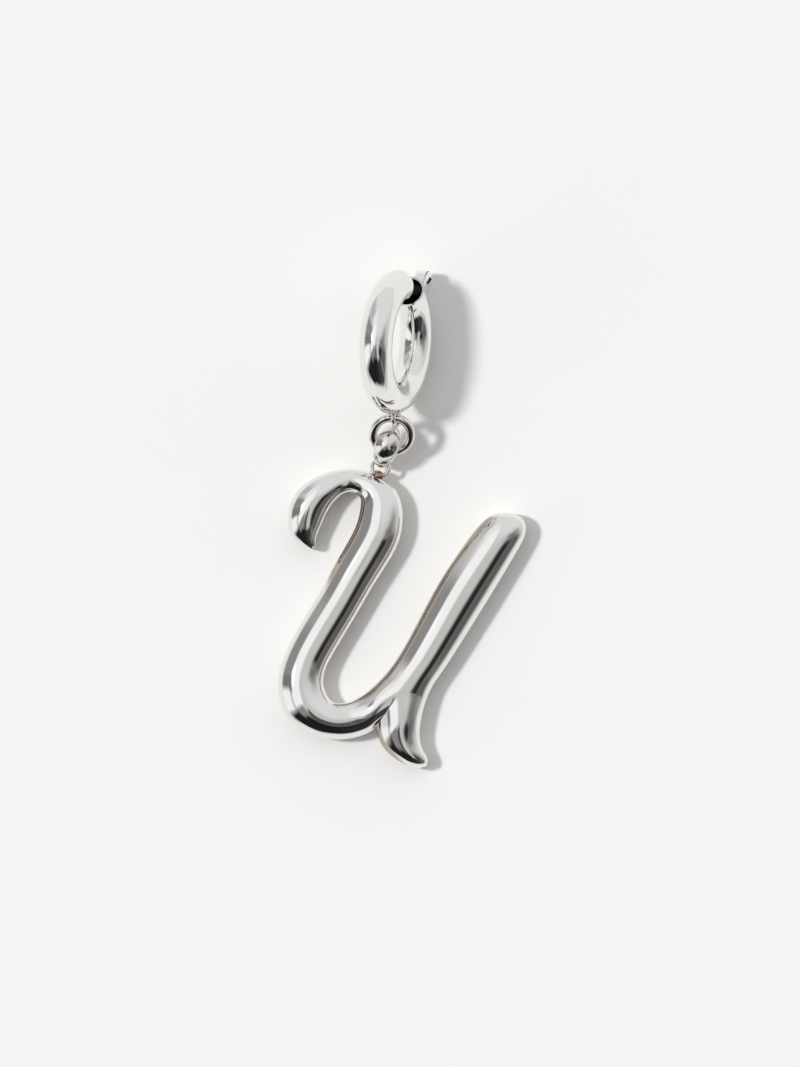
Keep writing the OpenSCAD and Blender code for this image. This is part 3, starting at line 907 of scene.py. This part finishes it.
paper = bpy.data.materials.new("paper")
paper.use_nodes = True
paperNodes, paperLinks = paper.node_tree.nodes, paper.node_tree.links
paperShader = paperNodes["Principled BSDF"]
paperGrain = paperNodes.new("ShaderNodeTexNoise")
paperGrain.inputs["Scale"].default_value = paperLook["grain"]
paperTone = paperNodes.new("ShaderNodeValToRGB")
for stop, tint in zip(paperTone.color_ramp.elements, (paperLook["dark"], paperLook["light"])):
    stop.color = (*tint, 1)
paperLinks.new(paperGrain.outputs["Fac"], paperTone.inputs["Fac"])
paperLinks.new(paperTone.outputs["Color"], paperShader.inputs["Base Color"])
paperShader.inputs["Roughness"].default_value = paperLook["roughness"]
paperShader.inputs["Specular IOR Level"].default_value = paperLook["specular"]
floor.data.materials.append(paper)
print("camera and floor set")


# the room that the metal mirrors: walls, then soft cards over them in this order. Each card has
# its azimuth from the letter's right, half width, nearest and farthest from overhead, softness
# sideways and upwards (all in degrees), and brightness.
roomLook = {
    "walls": (0.605, 0.598, 0.588),
    "backdrop": (0.87, 0.865, 0.855),  # what the camera itself sees past the floor
    "warmth": 0.02,  # tint of the dim cards
    "warmBelow": 0.5,  # how bright a card may be and still count as dim
}
studioCards = {
    "rightWall": (75, 62, 8, 95, 25, 8, 0.78),
    "rightShade": (357, 14, 40, 66, 12, 10, 0.36),
    "rightGrey": (351, 9, 27, 52, 9, 8, 0.2),
    "overheadSoftbox": (157, 55, 6, 37, 10, 4, 1.0),
    "softboxSide": (120, 18, 30, 50, 8, 5, 0.88),
    "keyGlow": (169, 9, 27, 40, 5, 4, 1.9),
    "leftCorner": (130, 12, 52, 95, 10, 5, 0.5),
    "leftWall": (163, 17, 37, 82, 6, 4, 0.28),
    "leftGap": (178, 9, 34, 82, 4, 4, 0.2),
    "leftWindow": (197, 13, 45, 88, 4, 4, 1.0),
    "frontShoulder": (238, 26, 13, 42, 8, 4, 0.27),
    "frontHigh": (274, 15, 7, 28, 8, 4, 0.09),
    "frontDark": (268, 24, 27, 70, 8, 4, 0.012),
    "frontDarkLeft": (238, 22, 38, 77, 8, 5, 0.015),
    "frontDarkRight": (293, 18, 35, 72, 8, 5, 0.025),
    "frontLow": (270, 36, 76, 95, 8, 3, 0.85),
    "rightDim": (334, 15, 46, 77, 8, 7, 0.12),
    "cornerDark": (306, 13, 38, 78, 8, 6, 0.05),
    "rightDark": (329, 14, 25, 48, 6, 7, 0.025),
}


def softCardGroup():
    # how much of a card is seen in a direction: 1 inside it, 0 outside, soft in between
    group = bpy.data.node_groups.new("softCard", "ShaderNodeTree")
    for name in ("azimuth", "zenith", "middle", "sideFrom", "sideTo", "nearFrom", "nearTo",
                 "farFrom", "farTo"):
        group.interface.new_socket(name, in_out="INPUT", socket_type="NodeSocketFloat")
    group.interface.new_socket("share", in_out="OUTPUT", socket_type="NodeSocketFloat")
    nodes, links = group.nodes, group.links
    given, result = nodes.new("NodeGroupInput"), nodes.new("NodeGroupOutput")

    def softStep(value, edge, start, end):
        node = nodes.new("ShaderNodeMapRange")
        node.interpolation_type = "SMOOTHSTEP"
        links.new(value, node.inputs["Value"])
        links.new(given.outputs[edge + "From"], node.inputs["From Min"])
        links.new(given.outputs[edge + "To"], node.inputs["From Max"])
        node.inputs["To Min"].default_value = start
        node.inputs["To Max"].default_value = end
        return node.outputs["Result"]

    apart = mathNode(nodes, links, "SUBTRACT", given.outputs["azimuth"], given.outputs["middle"])
    aside = mathNode(nodes, links, "ABSOLUTE", mathNode(nodes, links, "WRAP", apart, 180, -180))
    share = softStep(aside, "side", 1, 0)
    for edge, start, end in (("near", 0, 1), ("far", 1, 0)):
        inside = softStep(given.outputs["zenith"], edge, start, end)
        share = mathNode(nodes, links, "MULTIPLY", share, inside)
    links.new(share, result.inputs["share"])
    return group


def lightWorld():
    world = bpy.data.worlds.new("studio")
    scene.world = world
    world.use_nodes = True
    nodes, links = world.node_tree.nodes, world.node_tree.links
    nodes.clear()
    place, parts = nodes.new("ShaderNodeTexCoord"), nodes.new("ShaderNodeSeparateXYZ")
    links.new(place.outputs["Generated"], parts.inputs["Vector"])
    x, y, z = parts.outputs
    azimuth = mathNode(nodes, links, "DEGREES", mathNode(nodes, links, "ARCTAN2", y, x))
    zenith = mathNode(nodes, links, "DEGREES", mathNode(nodes, links, "ARCCOSINE", z))

    group = softCardGroup()
    colour = None
    for middle, halfWidth, near, far, sideSoft, endSoft, brightness in studioCards.values():
        seen = nodes.new("ShaderNodeGroup")
        seen.node_tree = group
        links.new(azimuth, seen.inputs["azimuth"])
        links.new(zenith, seen.inputs["zenith"])
        seen.inputs["middle"].default_value = middle
        for edge, value, soft in (("side", halfWidth, sideSoft), ("near", near, endSoft),
                                  ("far", far, endSoft)):
            seen.inputs[edge + "From"].default_value = value - soft
            seen.inputs[edge + "To"].default_value = value + soft
        mix = nodes.new("ShaderNodeMix")
        mix.data_type = "RGBA"
        if colour is None:
            mix.inputs["A"].default_value = (*roomLook["walls"], 1)
        else:
            links.new(colour, mix.inputs["A"])
        warmth = roomLook["warmth"] if brightness < roomLook["warmBelow"] else 0.0
        mix.inputs["B"].default_value = (brightness * (1 + warmth), brightness,
                                         brightness * (1 - warmth), 1)
        links.new(seen.outputs["share"], mix.inputs["Factor"])
        colour = mix.outputs["Result"]

    room, backdrop = nodes.new("ShaderNodeBackground"), nodes.new("ShaderNodeBackground")
    links.new(colour, room.inputs["Color"])
    backdrop.inputs["Color"].default_value = (*roomLook["backdrop"], 1)
    path, pick = nodes.new("ShaderNodeLightPath"), nodes.new("ShaderNodeMixShader")
    links.new(path.outputs["Is Camera Ray"], pick.inputs["Fac"])
    links.new(room.outputs["Background"], pick.inputs[1])
    links.new(backdrop.outputs["Background"], pick.inputs[2])
    output = nodes.new("ShaderNodeOutputWorld")
    links.new(pick.outputs["Shader"], output.inputs["Surface"])


scene.view_settings.view_transform = "Standard"
lightWorld()

# the key lamp casts the shadows; the metal mirrors the keyGlow card in its place
keySizes = {"azimuth": 168.7, "zenith": 33.5, "angle": 7.0, "strength": 1.7}
keyData = bpy.data.lights.new("key", "SUN")
keyData.energy = keySizes["strength"]
keyData.angle = math.radians(keySizes["angle"])
key = bpy.data.objects.new("key", keyData)
key.rotation_euler = (0, math.radians(keySizes["zenith"]), math.radians(keySizes["azimuth"]))
key.visible_glossy = False
scene.collection.objects.link(key)
print("room lit")
